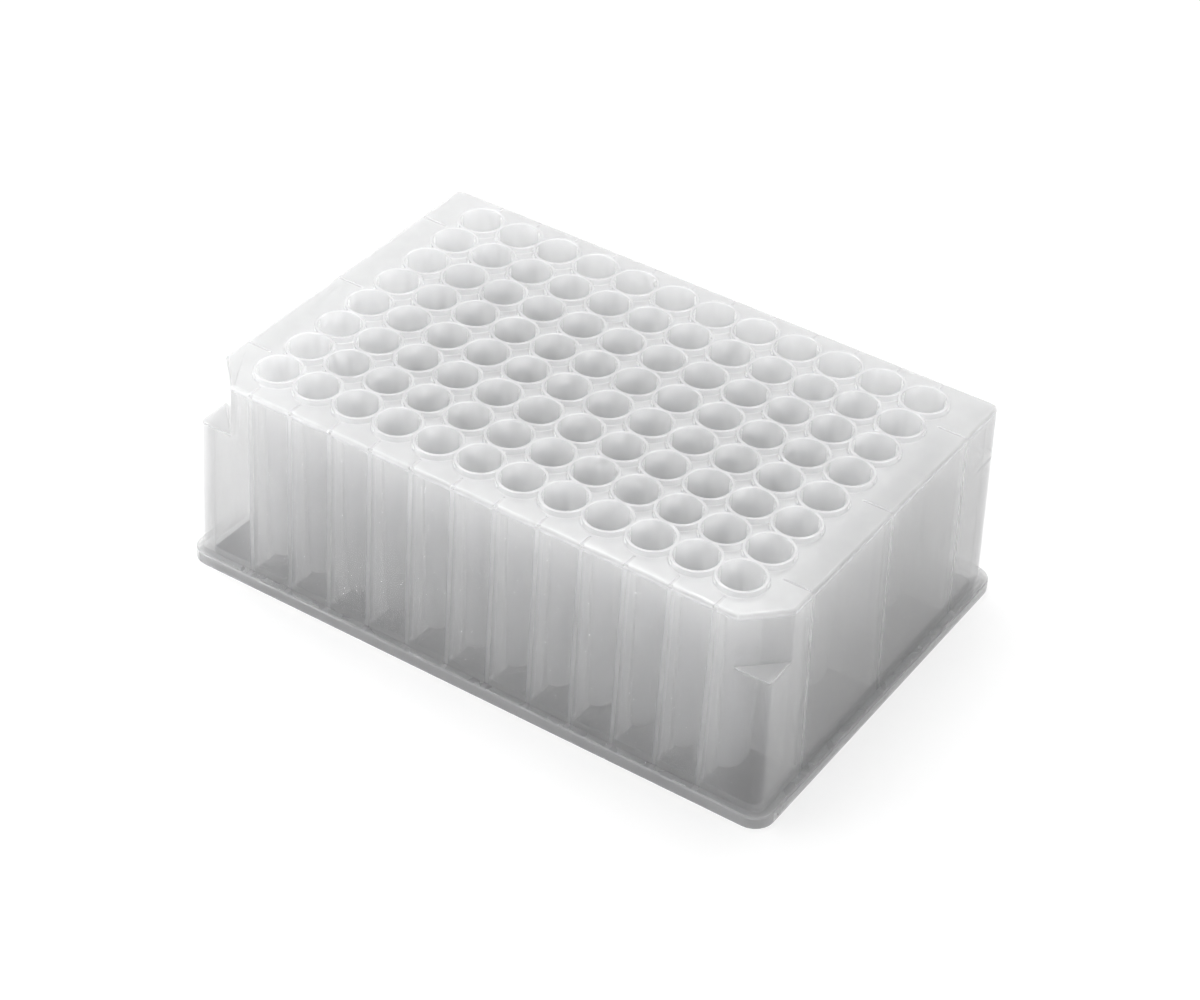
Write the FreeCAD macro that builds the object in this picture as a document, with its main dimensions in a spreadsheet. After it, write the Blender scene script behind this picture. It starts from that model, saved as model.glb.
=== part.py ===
"""Deep-well plate: one moulded piece with a 12 x 8 grid of round-bottomed wells.

Millimetres, +Z up.  The origin is the centre of the base footprint, on the
surface that the plate stands on; X is the long side and Y the short side.
The skirt is a drafted box, open below.  Its two corners on the -Y side are cut
at 45 degrees down to a ledge, which shows which way round the plate stands.
The wells are drafted tubes that hang from the deck inside the skirt, and merge
with their neighbours where they are widest.
"""

import FreeCAD, Part
import math
import os
import Sketcher

Vector = FreeCAD.Vector

# faces this near to a height, in millimetres, count as lying at it
SAME_HEIGHT = 1e-4

# long edges of the deck, each with its row of notches
NOTCHED_EDGES = "2"

# alias, value in millimetres (or degrees, or a count), what it is
SIZES = [
    ("column_count", 12, "wells along X"),
    ("row_count", 8, "wells along Y"),
    ("well_pitch", 9.0, "distance between neighbouring wells"),
    ("edge_to_column", 14.38, "base's short edge to the first column of wells"),
    ("edge_to_row", 11.24, "base's long edge to the first row of wells"),
    ("total_height", 43.5, "base to the top of the well rims"),
    ("footprint_corner", 4.0, "radius of the base's corners"),
    ("flange_height", 2.41, "height of the lip round the base"),
    ("flange_ledge", 1.7, "width of the ledge on top of that lip"),
    ("flange_wall", 1.4, "thickness of that lip and its ledge"),
    ("flange_edge_round", 0.35, "radius along the lip's upper edge"),
    ("skirt_draft", 1.75, "degrees that the skirt leans out going down"),
    ("skirt_wall", 1.3, "thickness of the skirt"),
    ("skirt_corner", 1.8, "radius of the skirt's upright corners"),
    ("cavity_corner", 0.9, "radius of the same corners, inside"),
    ("deck_thickness", 1.6, "thickness of the deck"),
    ("deck_edge_round", 0.7, "radius along the deck's outer edge"),
    ("corner_cut", 7.0, "legs of the cut on the two keyed corners"),
    ("corner_cut_depth", 10.8, "deck to the ledge under each cut"),
    ("well_land", 0.8, "land between the mouths of neighbouring wells"),
    ("well_taper", 1.2, "how much narrower a well is at its round bottom"),
    ("well_wall", 0.7, "thickness of a well's wall"),
    ("well_foot", 1.0, "base to the lowest point of a well, outside"),
    ("rim_height", 1.2, "height of a rim above the deck"),
    ("rim_chamfer", 0.2, "chamfer on a rim's outer edge"),
    ("side_rib_thickness", 0.9, "ribs between the wells and the long sides"),
    ("end_rib_thickness", 0.9, "ribs between the wells and the short sides"),
    ("end_rib_count", 3, "ribs at each short side"),
    ("end_rib_rows", 3, "rows of wells from one of those ribs to the next"),
    ("rib_foot", 2.6, "base to the lower end of the ribs"),
    ("rib_bite", 0.6, "how far a rib runs into the skirt and the deck"),
    ("edge_notch_width", 0.9, "notches in the deck's long edges, one at each rib"),
    ("edge_notch_depth", 0.45, "how far in those notches cut"),
]

# alias, expression on the sizes above, what it is
DERIVED = [
    ("footprint_length", "=2 * edge_to_column + well_pitch * (column_count - 1)",
     "base, along X"),
    ("footprint_width", "=2 * edge_to_row + well_pitch * (row_count - 1)",
     "base, along Y"),
    ("deck_top", "=total_height - rim_height", "top of the deck"),
    ("deck_underside", "=deck_top - deck_thickness", "underside of the deck"),
    ("ledge_top", "=deck_top - corner_cut_depth", "base to the ledges under the cuts"),
    ("ledge_underside", "=ledge_top - skirt_wall", "underside of those ledges"),
    ("draft_slope", "=tan(skirt_draft)", "how far the skirt leans out per millimetre"),
    ("skirt_lean", "=draft_slope * (deck_top - flange_height)",
     "how far the skirt leans out in all"),
    ("deck_length", "=footprint_length - 2 * flange_ledge - 2 * skirt_lean",
     "deck, along X"),
    ("deck_width", "=footprint_width - 2 * flange_ledge - 2 * skirt_lean",
     "deck, along Y"),
    ("cavity_length", "=deck_length - 2 * skirt_wall", "cavity under the deck, along X"),
    ("cavity_width", "=deck_width - 2 * skirt_wall", "cavity under the deck, along Y"),
    ("cavity_growth", "=draft_slope * (deck_underside - ledge_underside)",
     "how far the cavity widens on each side down to the ledges"),
    ("inner_cut", "=corner_cut - (2 - sqrt(2)) * skirt_wall",
     "legs of the corner cuts, on the inside of the skirt"),
    ("cut_reach", "=2 * skirt_wall", "how far the corner cuts stand out past the deck"),
    ("first_column", "=-well_pitch * (column_count - 1) / 2", "X of the first column"),
    ("first_row", "=-well_pitch * (row_count - 1) / 2", "Y of the first row"),
    ("mouth_radius", "=(well_pitch - well_land) / 2", "radius of a well's mouth"),
    ("bottom_radius", "=mouth_radius - well_taper / 2", "radius of a well's bottom"),
    ("rib_head", "=deck_underside + rib_bite", "base to the upper end of the ribs"),
    ("rib_lean", "=draft_slope * (rib_head - rib_foot)",
     "how far the ribs' outer edges lean out in all"),
    ("side_rib_meet", "=cavity_width / 2 + rib_bite",
     "Y where the upper end of a side rib meets the skirt"),
    ("end_rib_meet", "=cavity_length / 2 + rib_bite",
     "X where the upper end of an end rib meets the skirt"),
    ("end_rib_pitch", "=end_rib_rows * well_pitch", "distance between the end ribs"),
    ("first_end_rib", "=-end_rib_pitch * (end_rib_count - 1) / 2",
     "Y of the first end rib"),
]


def make_sheet(doc):
    """The driving sizes, and what follows from them, as named cells."""
    sheet = doc.addObject("Spreadsheet::Sheet", "Sizes")
    for row, (alias, value, note) in enumerate(SIZES + DERIVED, start=1):
        sheet.set("A%d" % row, alias)
        sheet.set("B%d" % row, str(value))
        sheet.set("C%d" % row, note)
        sheet.setAlias("B%d" % row, alias)
    doc.recompute()
    return sheet


def new_sketch(body, role, name, height="0", along=("0", "0")):
    """A sketch on one of the body's own planes, shifted by expressions."""
    plane = datum(body, role)
    sketch = body.newObject("Sketcher::SketchObject", name)
    sketch.AttachmentSupport = [(plane, "")]
    sketch.MapMode = "FlatFace"
    for axis, text in zip("xyz", (along[0], along[1], height)):
        if text != "0":
            sketch.setExpression(".AttachmentOffset.Base.%s" % axis, text)
    return sketch


def name_size(sketch, index, name, expression):
    """Name a dimension and drive it from the sheet."""
    sketch.renameConstraint(index, name)
    sketch.setExpression("Constraints.%s" % name, expression)


def draw_polygon(sketch, points):
    """Closed straight outline; returns the index of its first line."""
    first = sketch.GeometryCount
    count = len(points)
    for i, start in enumerate(points):
        end = points[(i + 1) % count]
        sketch.addGeometry(Part.LineSegment(Vector(*start, 0), Vector(*end, 0)), False)
    for i in range(count):
        nxt = first + (i + 1) % count
        sketch.addConstraint(Sketcher.Constraint("Coincident", first + i, 2, nxt, 1))
    return first


def draw_rounded_rectangle(sketch, length, width, radius, texts):
    """Rectangle centred on the sketch's origin, with round corners.

    length, width and radius are starting values; texts are the expressions
    that drive them.
    """
    half_x = length / 2
    half_y = width / 2
    near_x = half_x - radius
    near_y = half_y - radius
    sides = [
        ((-near_x, -half_y), (near_x, -half_y)),
        ((half_x, -near_y), (half_x, near_y)),
        ((near_x, half_y), (-near_x, half_y)),
        ((-half_x, near_y), (-half_x, -near_y)),
    ]
    for start, end in sides:
        sketch.addGeometry(Part.LineSegment(Vector(*start, 0), Vector(*end, 0)), False)
    centres = [(near_x, -near_y), (near_x, near_y), (-near_x, near_y), (-near_x, -near_y)]
    for quarter, centre in enumerate(centres):
        circle = Part.Circle(Vector(*centre, 0), Vector(0, 0, 1), radius)
        start = (quarter - 1) * math.pi / 2
        sketch.addGeometry(Part.ArcOfCircle(circle, start, start + math.pi / 2), False)
    for side in range(4):
        corner = 4 + side
        following = (side + 1) % 4
        sketch.addConstraint(Sketcher.Constraint("Tangent", side, 2, corner, 1))
        sketch.addConstraint(Sketcher.Constraint("Tangent", corner, 2, following, 1))
        kind = "Horizontal" if side % 2 == 0 else "Vertical"
        sketch.addConstraint(Sketcher.Constraint(kind, side))
    for corner in (5, 6, 7):
        sketch.addConstraint(Sketcher.Constraint("Equal", 4, corner))
    sketch.addConstraint(Sketcher.Constraint("Symmetric", 4, 3, 6, 3, -1, 1))
    wide = sketch.addConstraint(Sketcher.Constraint("DistanceX", 3, 1, 1, 1, length))
    deep = sketch.addConstraint(Sketcher.Constraint("DistanceY", 0, 1, 2, 1, width))
    turn = sketch.addConstraint(Sketcher.Constraint("Radius", 4, radius))
    name_size(sketch, wide, "length", texts[0])
    name_size(sketch, deep, "width", texts[1])
    name_size(sketch, turn, "corner", texts[2])


def draw_centred_box(sketch, length, width, texts):
    """Plain rectangle centred on the sketch's origin."""
    x = length / 2
    y = width / 2
    first = draw_polygon(sketch, [(-x, -y), (x, -y), (x, y), (-x, y)])
    for side in range(4):
        kind = "Horizontal" if side % 2 == 0 else "Vertical"
        sketch.addConstraint(Sketcher.Constraint(kind, first + side))
    sketch.addConstraint(Sketcher.Constraint("Symmetric", first, 1, first + 2, 1, -1, 1))
    wide = sketch.addConstraint(Sketcher.Constraint("DistanceX", first, 1, first, 2, length))
    deep = sketch.addConstraint(Sketcher.Constraint("DistanceY", first + 1, 1, first + 1, 2, width))
    name_size(sketch, wide, "length", texts[0])
    name_size(sketch, deep, "width", texts[1])


def draw_corner_triangle(sketch, side, leg, reach, texts):
    """Right triangle outside a corner's 45 degree cut, on the -Y side.

    The sketch's origin is the deck's sharp corner, on the side that side
    gives.  leg is how far the cut runs along each edge of the deck, and reach
    how far the triangle stands outside it.
    """
    across = leg + 2 * reach
    corner = (side * reach, -reach)
    along_x = (corner[0] - side * across, corner[1])
    along_y = (corner[0], corner[1] + across)
    first = draw_polygon(sketch, [corner, along_x, along_y])
    sketch.addConstraint(Sketcher.Constraint("Horizontal", first))
    sketch.addConstraint(Sketcher.Constraint("Vertical", first + 2))
    sketch.addConstraint(Sketcher.Constraint("Equal", first, first + 2))
    if side > 0:
        run = (first, 2, first, 1)
        out = (-1, 1, first, 1)
    else:
        run = (first, 1, first, 2)
        out = (first, 1, -1, 1)
    whole = sketch.addConstraint(Sketcher.Constraint("DistanceX", *run, across))
    out_x = sketch.addConstraint(Sketcher.Constraint("DistanceX", *out, reach))
    out_y = sketch.addConstraint(Sketcher.Constraint("DistanceY", first, 1, -1, 1, reach))
    name_size(sketch, whole, "leg", "%s + 2 * %s" % texts)
    name_size(sketch, out_x, "reach_x", texts[1])
    name_size(sketch, out_y, "reach_y", texts[1])


def draw_cut_rectangle(sketch, length, width, leg, texts):
    """Rectangle centred on the sketch's origin, cut at its two -Y corners."""
    x = length / 2
    y = width / 2
    points = [(-x + leg, -y), (x - leg, -y), (x, -y + leg), (x, y), (-x, y), (-x, -y + leg)]
    draw_polygon(sketch, points)
    sketch.addConstraint(Sketcher.Constraint("Vertical", 2))
    sketch.addConstraint(Sketcher.Constraint("Symmetric", 0, 1, 0, 2, -2))
    sketch.addConstraint(Sketcher.Constraint("Symmetric", 3, 1, 3, 2, -2))
    sketch.addConstraint(Sketcher.Constraint("Symmetric", 1, 2, 4, 2, -2))
    wide = sketch.addConstraint(Sketcher.Constraint("DistanceX", 3, 2, 3, 1, length))
    front = sketch.addConstraint(Sketcher.Constraint("DistanceY", 0, 1, -1, 1, y))
    back = sketch.addConstraint(Sketcher.Constraint("DistanceY", -1, 1, 3, 1, y))
    leg_x = sketch.addConstraint(Sketcher.Constraint("DistanceX", 0, 2, 2, 1, leg))
    leg_y = sketch.addConstraint(Sketcher.Constraint("DistanceY", 0, 2, 2, 1, leg))
    name_size(sketch, wide, "length", texts[0])
    name_size(sketch, front, "front", "(%s) / 2" % texts[1])
    name_size(sketch, back, "back", "(%s) / 2" % texts[1])
    name_size(sketch, leg_x, "leg_x", texts[2])
    name_size(sketch, leg_y, "leg_y", texts[2])


def draw_tube_profile(sketch, sizes, texts, chamfer=None):
    """Half section of a drafted tube with a round bottom, for turning.

    sizes and texts give the top radius, the bottom radius, the lowest point
    and the top.  chamfer, a value and its expression, cuts the top edge.
    """
    top_radius, round_radius, low, top = sizes
    cut = chamfer[0] if chamfer else 0.0
    centre = Vector(0, low + round_radius, 0)
    wide = Vector(round_radius, centre.y, 0)
    shoulder = Vector(top_radius, top - cut, 0)
    rim = Vector(top_radius - cut, top, 0)
    circle = Part.Circle(centre, Vector(0, 0, 1), round_radius)
    sketch.addGeometry(Part.ArcOfCircle(circle, -math.pi / 2, 0), False)
    sketch.addGeometry(Part.LineSegment(wide, shoulder), False)
    last = 1
    if chamfer:
        last = sketch.addGeometry(Part.LineSegment(shoulder, rim), False)
    cap = sketch.addGeometry(Part.LineSegment(rim, Vector(0, top, 0)), False)
    axis = sketch.addGeometry(Part.LineSegment(Vector(0, top, 0), Vector(0, low, 0)), False)
    sketch.addConstraint(Sketcher.Constraint("Tangent", 0, 2, 1, 1))
    if chamfer:
        sketch.addConstraint(Sketcher.Constraint("Coincident", 1, 2, last, 1))
    sketch.addConstraint(Sketcher.Constraint("Coincident", last, 2, cap, 1))
    sketch.addConstraint(Sketcher.Constraint("Coincident", cap, 2, axis, 1))
    sketch.addConstraint(Sketcher.Constraint("Coincident", axis, 2, 0, 1))
    sketch.addConstraint(Sketcher.Constraint("Horizontal", cap))
    sketch.addConstraint(Sketcher.Constraint("PointOnObject", 0, 3, -2))
    sketch.addConstraint(Sketcher.Constraint("PointOnObject", axis, 1, -2))
    sketch.addConstraint(Sketcher.Constraint("PointOnObject", axis, 2, -2))
    bottom = sketch.addConstraint(Sketcher.Constraint("Radius", 0, round_radius))
    lowest = sketch.addConstraint(Sketcher.Constraint("DistanceY", -1, 1, 0, 1, low))
    height = sketch.addConstraint(Sketcher.Constraint("DistanceY", -1, 1, axis, 1, top))
    mouth = sketch.addConstraint(Sketcher.Constraint("DistanceX", -1, 1, 1, 2, top_radius))
    name_size(sketch, mouth, "top_radius", texts[0])
    name_size(sketch, bottom, "bottom_radius", texts[1])
    name_size(sketch, lowest, "lowest", texts[2])
    name_size(sketch, height, "top", texts[3])
    if chamfer:
        down = sketch.addConstraint(Sketcher.Constraint("DistanceY", 1, 2, last, 2, cut))
        name_size(sketch, down, "chamfer_down", chamfer[1])
        inward = sketch.addConstraint(Sketcher.Constraint("DistanceX", last, 2, 1, 2, cut))
        name_size(sketch, inward, "chamfer_in", chamfer[1])


def add_pad(body, name, sketch, length, taper=None, reverse=False):
    """Pad a sketch by an expression, drafted by another if one is given."""
    pad = body.newObject("PartDesign::Pad", name)
    pad.Profile = sketch
    pad.Reversed = reverse
    pad.setExpression("Length", length)
    if taper:
        pad.setExpression("TaperAngle", taper)
    return pad


def add_pocket(body, name, sketch, length, taper=None, reverse=False):
    """Pocket a sketch by an expression, drafted by another if one is given."""
    pocket = body.newObject("PartDesign::Pocket", name)
    pocket.Profile = sketch
    pocket.Reversed = reverse
    pocket.setExpression("Length", length)
    if taper:
        pocket.setExpression("TaperAngle", taper)
    return pocket


def add_turned(body, kind, name, sketch):
    """A full turn of a profile about the sketch's upright axis."""
    turned = body.newObject("PartDesign::%s" % kind, name)
    turned.Profile = sketch
    turned.ReferenceAxis = (sketch, ["V_Axis"])
    turned.Angle = 360
    return turned


def datum(body, role):
    """One of the body's own origin planes or axes."""
    return next(f for f in body.Origin.OriginFeatures if f.Role == role)


def add_run(body, name, role, run):
    """A row of copies along one axis; run is a count and a spacing."""
    pattern = body.newObject("PartDesign::LinearPattern", name)
    pattern.Direction = (datum(body, role), [""])
    pattern.Mode = "Spacing"
    pattern.setExpression("Occurrences", run[0])
    pattern.setExpression("Offset", run[1])
    return pattern


def add_row(body, name, feature, role, run):
    """Copies of one feature in a row."""
    row = add_run(body, name, role, run)
    row.Originals = [feature]
    body.Tip = row


def add_grid(body, name, feature, along_x, along_y):
    """Copies of one feature in a grid; each run is a count and a spacing."""
    grid = body.newObject("PartDesign::MultiTransform", name)
    grid.Originals = [feature]
    grid.Transformations = [
        add_run(body, name + "AlongX", "X_Axis", along_x),
        add_run(body, name + "AlongY", "Y_Axis", along_y),
    ]
    body.Tip = grid


def draw_rib(sketch, side, inner, outer, lean, heights, texts):
    """Upright outline of a rib, whose outer edge follows the skirt's lean.

    inner and outer are how far from the sketch's origin the rib starts, and
    meets the skirt at the top.  side is -1 or 1, the direction it runs in.
    """
    low, high = heights
    points = [(side * inner, low), (side * (outer + lean), low),
              (side * outer, high), (side * inner, high)]
    first = draw_polygon(sketch, points)
    sketch.addConstraint(Sketcher.Constraint("Horizontal", first))
    sketch.addConstraint(Sketcher.Constraint("Horizontal", first + 2))
    sketch.addConstraint(Sketcher.Constraint("Vertical", first + 3))
    origin = (-1, 1)
    spans = [
        ("inner", origin, (first, 1), inner, texts[0]),
        ("outer", origin, (first + 2, 1), outer, texts[1]),
        ("lean", (first + 2, 1), (first, 2), lean, texts[2]),
    ]
    mark = "left" if side < 0 else "right"
    for name, near, far, value, text in spans:
        ends = near + far if side > 0 else far + near
        index = sketch.addConstraint(Sketcher.Constraint("DistanceX", *ends, value))
        name_size(sketch, index, "%s_%s" % (mark, name), text)
    foot = sketch.addConstraint(Sketcher.Constraint("DistanceY", -1, 1, first, 1, low))
    head = sketch.addConstraint(Sketcher.Constraint("DistanceY", -1, 1, first + 2, 1, high))
    name_size(sketch, foot, "%s_low" % mark, "Sizes.rib_foot")
    name_size(sketch, head, "%s_high" % mark, "Sizes.rib_head")


def outer_edges(feature, level):
    """Names of the edges round the outside of the flat face at a height."""
    shape = feature.Shape
    flat = [f for f in shape.Faces if abs(f.BoundBox.ZMax - level) < SAME_HEIGHT
            and f.BoundBox.ZLength < SAME_HEIGHT]
    rim = max((f.OuterWire for f in flat), key=lambda wire: wire.BoundBox.DiagonalLength)
    names = []
    for number, edge in enumerate(shape.Edges, start=1):
        if any(edge.isSame(other) for other in rim.Edges):
            names.append("Edge%d" % number)
    return names


def add_fillet(doc, body, name, feature, level, radius):
    """Round the outside of the flat face that lies at a height."""
    doc.recompute()
    fillet = body.newObject("PartDesign::Fillet", name)
    fillet.Base = (feature, outer_edges(feature, level))
    fillet.setExpression("Radius", radius)


def build_skirt(doc, body, size):
    """Base lip, drafted skirt and deck, cut at the two keyed corners."""
    base = new_sketch(body, "XY_Plane", "FlangeOutline")
    draw_rounded_rectangle(
        base, size("footprint_length"), size("footprint_width"), size("footprint_corner"),
        ("Sizes.footprint_length", "Sizes.footprint_width", "Sizes.footprint_corner"))
    flange = add_pad(body, "Flange", base, "Sizes.flange_height")
    add_fillet(doc, body, "FlangeEdge", flange, size("flange_height"),
               "Sizes.flange_edge_round")

    deck = new_sketch(body, "XY_Plane", "DeckOutline", height="Sizes.deck_top")
    draw_rounded_rectangle(
        deck, size("deck_length"), size("deck_width"), size("skirt_corner"),
        ("Sizes.deck_length", "Sizes.deck_width", "Sizes.skirt_corner"))
    add_pad(body, "Skirt", deck, "Sizes.deck_top - Sizes.flange_height",
            taper="Sizes.skirt_draft", reverse=True)

    for side, name in ((-1, "Left"), (1, "Right")):
        corner = "Sizes.deck_length / 2 * %d" % side
        cut = new_sketch(body, "XY_Plane", name + "CutOutline", height="Sizes.deck_top",
                         along=(corner, "-Sizes.deck_width / 2"))
        draw_corner_triangle(cut, side, size("corner_cut"), size("cut_reach"),
                             ("Sizes.corner_cut", "Sizes.cut_reach"))
        last = add_pocket(body, name + "CornerCut", cut, "Sizes.corner_cut_depth",
                          taper="-Sizes.skirt_draft")
    add_fillet(doc, body, "DeckEdge", last, size("deck_top"), "Sizes.deck_edge_round")


def build_cavity(body, size):
    """Hollow out the skirt from below, with the corner cuts left closed."""
    upper = new_sketch(body, "XY_Plane", "UpperCavityOutline", height="Sizes.deck_underside")
    draw_cut_rectangle(
        upper, size("cavity_length"), size("cavity_width"), size("inner_cut"),
        ("Sizes.cavity_length", "Sizes.cavity_width", "Sizes.inner_cut"))
    add_pocket(body, "UpperCavity", upper, "Sizes.deck_underside - Sizes.ledge_underside",
               taper="Sizes.skirt_draft")

    growth = 2 * size("cavity_growth")
    lower = new_sketch(body, "XY_Plane", "LowerCavityOutline", height="Sizes.ledge_underside")
    draw_rounded_rectangle(
        lower, size("cavity_length") + growth, size("cavity_width") + growth,
        size("cavity_corner"),
        ("Sizes.cavity_length + 2 * Sizes.cavity_growth",
         "Sizes.cavity_width + 2 * Sizes.cavity_growth", "Sizes.cavity_corner"))
    add_pocket(body, "LowerCavity", lower, "Sizes.ledge_underside", taper="Sizes.skirt_draft")

    wall = 2 * size("flange_wall")
    recess = new_sketch(body, "XY_Plane", "FlangeRecessOutline")
    draw_rounded_rectangle(
        recess, size("footprint_length") - wall, size("footprint_width") - wall,
        size("footprint_corner") - size("flange_wall"),
        ("Sizes.footprint_length - 2 * Sizes.flange_wall",
         "Sizes.footprint_width - 2 * Sizes.flange_wall",
         "Sizes.footprint_corner - Sizes.flange_wall"))
    add_pocket(body, "FlangeRecess", recess, "Sizes.flange_height - Sizes.flange_wall",
               reverse=True)


def build_ribs(body, size):
    """Ribs from the outer wells to the skirt, on all four sides."""
    heights = (size("rib_foot"), size("rib_head"))
    sides = new_sketch(body, "YZ_Plane", "SideRibOutline", height="Sizes.first_column")
    ends = new_sketch(body, "XZ_Plane", "EndRibOutline", height="-Sizes.first_end_rib")
    for side in (-1, 1):
        draw_rib(sides, side, -size("first_row"), size("side_rib_meet"), size("rib_lean"),
                 heights, ("-Sizes.first_row", "Sizes.side_rib_meet", "Sizes.rib_lean"))
        draw_rib(ends, side, -size("first_column"), size("end_rib_meet"), size("rib_lean"),
                 heights, ("-Sizes.first_column", "Sizes.end_rib_meet", "Sizes.rib_lean"))

    side_rib = add_pad(body, "SideRib", sides, "Sizes.side_rib_thickness")
    side_rib.SideType = "Symmetric"
    add_row(body, "SideRibs", side_rib, "X_Axis", ("Sizes.column_count", "Sizes.well_pitch"))
    end_rib = add_pad(body, "EndRib", ends, "Sizes.end_rib_thickness")
    end_rib.SideType = "Symmetric"
    add_row(body, "EndRibs", end_rib, "Y_Axis", ("Sizes.end_rib_count", "Sizes.end_rib_pitch"))


def build_wells(body, size):
    """Drafted tubes with rims above the deck, and the bores inside them."""
    along_x = ("Sizes.column_count", "Sizes.well_pitch")
    along_y = ("Sizes.row_count", "Sizes.well_pitch")
    corner = ("Sizes.first_column", "0")
    wall = size("well_wall")

    outside = new_sketch(body, "XZ_Plane", "TubeOutline", height="-Sizes.first_row",
                         along=corner)
    draw_tube_profile(
        outside,
        (size("mouth_radius") + wall, size("bottom_radius") + wall, size("well_foot"),
         size("total_height")),
        ("Sizes.mouth_radius + Sizes.well_wall", "Sizes.bottom_radius + Sizes.well_wall",
         "Sizes.well_foot", "Sizes.total_height"),
        chamfer=(size("rim_chamfer"), "Sizes.rim_chamfer"))
    tube = add_turned(body, "Revolution", "Tube", outside)
    add_grid(body, "Tubes", tube, along_x, along_y)

    inside = new_sketch(body, "XZ_Plane", "BoreOutline", height="-Sizes.first_row",
                        along=corner)
    draw_tube_profile(
        inside,
        (size("mouth_radius"), size("bottom_radius"), size("well_foot") + wall,
         size("total_height")),
        ("Sizes.mouth_radius", "Sizes.bottom_radius", "Sizes.well_foot + Sizes.well_wall",
         "Sizes.total_height"))
    bore = add_turned(body, "Groove", "Bore", inside)
    add_grid(body, "Bores", bore, along_x, along_y)


def build_notches(body, size):
    """Small notches across the deck's long edges, one at each side rib.

    They go down as far as the edge's round does.
    """
    outline = new_sketch(body, "XY_Plane", "EdgeNotchOutline", height="Sizes.deck_top",
                         along=("Sizes.first_column", "-Sizes.deck_width / 2"))
    draw_centred_box(
        outline, size("edge_notch_width"), 2 * size("edge_notch_depth"),
        ("Sizes.edge_notch_width", "2 * Sizes.edge_notch_depth"))
    notch = add_pocket(body, "EdgeNotch", outline, "Sizes.deck_edge_round")
    add_grid(body, "EdgeNotches", notch, ("Sizes.column_count", "Sizes.well_pitch"),
             (NOTCHED_EDGES, "Sizes.deck_width"))


def check(doc, nodes):
    """Stop unless every object computed and every piece is one sound solid."""
    for item in doc.Objects:
        if "Invalid" in item.State or "Error" in item.State:
            raise RuntimeError("%s did not compute: %s" % (item.Label, item.State))
    for node in nodes:
        shape = node.Shape
        if shape.isNull() or not shape.isValid() or len(shape.Solids) != 1:
            raise RuntimeError("%s is not one sound solid" % node.Label)


def main():
    doc = FreeCAD.newDocument("WellPlate")
    size = make_sheet(doc).get
    plate = doc.addObject("PartDesign::Body", "WellPlate")
    plate.Label = "well_plate"
    build_skirt(doc, plate, size)
    build_cavity(plate, size)
    build_notches(plate, size)
    build_ribs(plate, size)
    build_wells(plate, size)
    doc.recompute()
    nodes = [plate]
    check(doc, nodes)
    os.makedirs("parts", exist_ok=True)
    for node in nodes:
        node.Shape.exportStep("parts/%s.step" % node.Label)


main()
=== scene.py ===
"""Deep-well plate: the looks of the moulded plate, its stage and its camera.

Metres, +Z up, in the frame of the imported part: the origin is the centre of
the base, X the long side and Y the short side.
"""

import math

import bmesh
import bpy
from bpy.props import FloatProperty, FloatVectorProperty, IntProperty, PointerProperty
from mathutils import Matrix, Vector


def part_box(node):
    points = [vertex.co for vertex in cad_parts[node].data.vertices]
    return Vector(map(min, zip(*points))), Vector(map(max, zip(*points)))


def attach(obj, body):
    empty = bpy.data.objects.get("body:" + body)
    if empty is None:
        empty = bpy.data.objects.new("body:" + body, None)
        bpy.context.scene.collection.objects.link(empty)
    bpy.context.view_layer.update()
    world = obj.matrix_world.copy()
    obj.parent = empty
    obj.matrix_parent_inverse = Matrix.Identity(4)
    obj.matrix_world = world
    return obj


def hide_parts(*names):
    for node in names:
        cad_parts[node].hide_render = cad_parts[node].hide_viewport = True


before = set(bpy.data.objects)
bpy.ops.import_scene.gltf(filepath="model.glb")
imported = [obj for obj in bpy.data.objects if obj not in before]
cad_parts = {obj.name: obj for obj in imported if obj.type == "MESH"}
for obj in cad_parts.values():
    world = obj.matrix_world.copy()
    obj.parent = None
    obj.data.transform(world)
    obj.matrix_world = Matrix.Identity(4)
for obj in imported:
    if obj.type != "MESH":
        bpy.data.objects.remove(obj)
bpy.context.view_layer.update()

bl_info = {
    "name": "Deep-Well Plate",
    "version": (1, 0, 0),
    "blender": (4, 5, 0),
    "location": "3D View > Sidebar > Plate",
    "description": "Models a moulded deep-well plate and the stage it stands on",
    "category": "Object",
}

PLATE_LOW, PLATE_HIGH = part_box("well_plate")

MM = 0.001
PLATE_NAME = "moulded_plate"

# how finely round shapes are modelled, in faces
CORNER_STEPS = 6
EDGE_STEPS = 3
DECK_STEPS = 4
FILLET_STEPS = 2
BALL_ROWS = 12

# how near a corner or an edge must be to count as the one that is looked for
SAME = 0.01 * MM
NEAR = 0.1 * MM

# how far a cutter goes past what it cuts
OVER = 5 * MM
BELOW = 1 * MM
ABOVE = 1 * MM
WEDGE_REACH = 20 * MM

# the mesh is cleaned below these sizes, and edges sharper than this stay sharp
MERGE = 0.002 * MM
NO_LENGTH = 0.001 * MM
SHARP = math.radians(32)

# how fine the plastic's clouds and its upright streaks are, in waves a metre
CLOUDS = 70.0
STREAKS = (260.0, 260.0, 14.0)

# where the lamps and the camera stand, and what the lamps face
KEY_PLACE = (-0.12, 0.16, 0.66)
KEY_SHAPE = (0.8, 0.7)
FILL_PLACE = (-0.34, -0.30, 0.10)
FILL_SHAPE = (0.3, 0.12)
LIT_POINT = (0, 0, 0.03)
CAMERA_PLACE = (0.2356, -0.3739, 0.3585)
SENSOR = 36.0
NEAREST_SEEN = 0.01
FLOOR_SIDE = 6.0
FLOOR_DROP = 0.02 * MM


def size(text, value):
    """A length that the user may change."""
    return FloatProperty(name=text, description=text, default=value, min=0.0,
                         precision=5, unit="LENGTH")


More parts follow.
